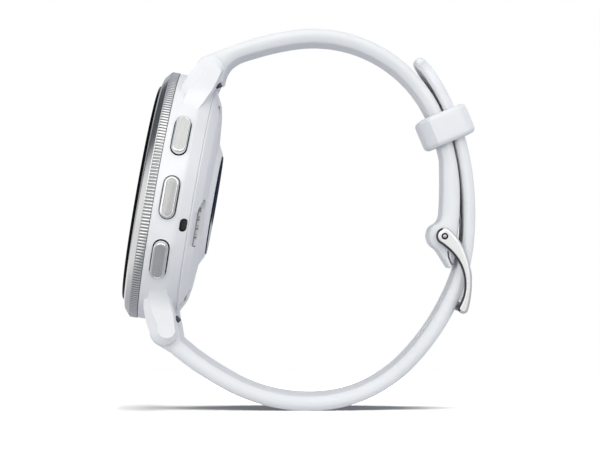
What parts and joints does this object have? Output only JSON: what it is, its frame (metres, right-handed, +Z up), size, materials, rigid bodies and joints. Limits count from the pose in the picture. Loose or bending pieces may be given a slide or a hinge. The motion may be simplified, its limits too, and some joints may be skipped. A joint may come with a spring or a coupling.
{
  "type": "running watch",
  "caption": "Round sports watch with a fluted bezel, side buttons and a buckled silicone band, standing closed on the bottom of its band.",
  "frame": {"origin": "point on the mid-plane where the outside of the band rests on the ground", "axes": "+Z up; the band loop lies in the XZ plane; the display faces -X and leans back 10 degrees; +Y is the 9 o'clock side, so the buttons are on -Y"},
  "size_m": [0.0635, 0.0458, 0.0682],
  "materials": {
    "case_polymer": "satin white fibre-reinforced polymer",
    "bezel_steel": "brushed stainless steel with fine radial flutes",
    "black_glass": "polished black-backed glass",
    "display_black": "black display stack",
    "seal_rubber": "moulded seal",
    "button_steel": "brushed face with a polished rim",
    "spring_steel": "drawn spring steel",
    "switch_steel": "pressed steel switch",
    "copper_flex": "polyimide flexible circuit",
    "grey_plastic": "moulded plastic",
    "circuit_board": "solder-masked board",
    "tinned_steel": "tinned pressed steel",
    "battery_foil": "foil pouch cell",
    "gold_plate": "gold-plated metal",
    "black_plastic": "moulded black plastic",
    "tungsten": "sintered heavy metal",
    "screw_steel": "machined stainless steel",
    "bar_steel": "drawn stainless steel",
    "lever_steel": "dark plated steel",
    "band_silicone": "matt bluish-white silicone",
    "buckle_steel": "satin polished stainless steel"
  },
  "bodies": {
    "watch": {"mid_case": "case_polymer", "back_cover": "case_polymer", "bezel": "bezel_steel", "cover_glass": "black_glass", "sensor_window": "black_glass", "display_panel": "display_black", "display_gasket": "seal_rubber", "case_gasket": "seal_rubber", "button_seal_upper": "seal_rubber", "button_seal_middle": "seal_rubber", "button_seal_lower": "seal_rubber", "switch_upper": "switch_steel", "switch_middle": "switch_steel", "switch_lower": "switch_steel", "button_flex": "copper_flex", "display_flex": "copper_flex", "sensor_flex": "copper_flex", "inner_chassis": "grey_plastic", "charge_block": "grey_plastic", "main_board": "circuit_board", "sensor_board": "circuit_board", "shield_can": "tinned_steel", "microphone": "tinned_steel", "battery": "battery_foil", "gps_antenna": "gold_plate", "charge_pin_1": "gold_plate", "charge_pin_2": "gold_plate", "charge_pin_3": "gold_plate", "charge_pin_4": "gold_plate", "speaker": "black_plastic", "mic_mesh": "black_plastic", "motor_case": "tinned_steel", "back_screw_1": "screw_steel", "back_screw_2": "screw_steel", "back_screw_3": "screw_steel", "back_screw_4": "screw_steel", "bar_tube_top": "bar_steel", "bar_tube_bottom": "bar_steel", "bar_pin_top": "bar_steel", "bar_pin_bottom": "bar_steel", "bar_spring_top": "spring_steel", "bar_spring_bottom": "spring_steel", "strap_upper": "band_silicone", "strap_lower": "band_silicone", "buckle_pin": "buckle_steel"},
    "button_upper": {"button_upper": "button_steel", "button_clip_upper": "spring_steel"},
    "button_middle": {"button_middle": "button_steel", "button_clip_middle": "spring_steel"},
    "button_lower": {"button_lower": "button_steel", "button_clip_lower": "spring_steel"},
    "release_top": {"release_pin_top": "lever_steel"},
    "release_bottom": {"release_pin_bottom": "lever_steel"},
    "keeper": {"keeper": "band_silicone"},
    "buckle_frame": {"buckle_frame": "buckle_steel"},
    "buckle_tongue": {"buckle_tongue": "buckle_steel"},
    "motor_weight": {"motor_weight": "tungsten"}
  },
  "joints": [
    {"name": "press_upper_button", "type": "slide", "parent": "watch", "child": "button_upper", "axis": [-0.0855, 0.8704, -0.4849], "range_m": [0, 0.0005], "stiffness_N_per_m": 900},
    {"name": "press_middle_button", "type": "slide", "parent": "watch", "child": "button_middle", "axis": [0, 1, 0], "range_m": [0, 0.0005], "stiffness_N_per_m": 900},
    {"name": "press_lower_button", "type": "slide", "parent": "watch", "child": "button_lower", "axis": [0.0855, 0.8704, 0.4849], "range_m": [0, 0.0005], "stiffness_N_per_m": 900},
    {"name": "draw_release_top", "type": "slide", "parent": "watch", "child": "release_top", "axis": [0, 1, 0], "range_m": [0, 0.0013], "stiffness_N_per_m": 400, "deforming": ["bar_spring_top"]},
    {"name": "draw_release_bottom", "type": "slide", "parent": "watch", "child": "release_bottom", "axis": [0, 1, 0], "range_m": [0, 0.0013], "stiffness_N_per_m": 400, "deforming": ["bar_spring_bottom"]},
    {"name": "slide_keeper", "type": "hinge", "parent": "watch", "child": "keeper", "pos_m": [-0.011, 0, 0.038], "axis": [0, 1, 0], "range_deg": [-3, 6.5]},
    {"name": "swing_buckle", "type": "hinge", "parent": "watch", "child": "buckle_frame", "pos_m": [0.0244, 0, 0.0312], "axis": [0, -1, 0], "range_deg": [0, 6]},
    {"name": "swing_tongue", "type": "hinge", "parent": "watch", "child": "buckle_tongue", "pos_m": [0.0244, 0, 0.0312], "axis": [0, -1, 0], "range_deg": [0, 6]},
    {"name": "spin_motor_weight", "type": "hinge", "parent": "watch", "child": "motor_weight", "pos_m": [-0.01955, 0, 0.05133], "axis": [-0.9848, 0, 0.1736], "continuous": true}
  ],
  "couplings": [
    {"joint": "swing_tongue", "follows": "swing_buckle", "ratio": 1}
  ]
}
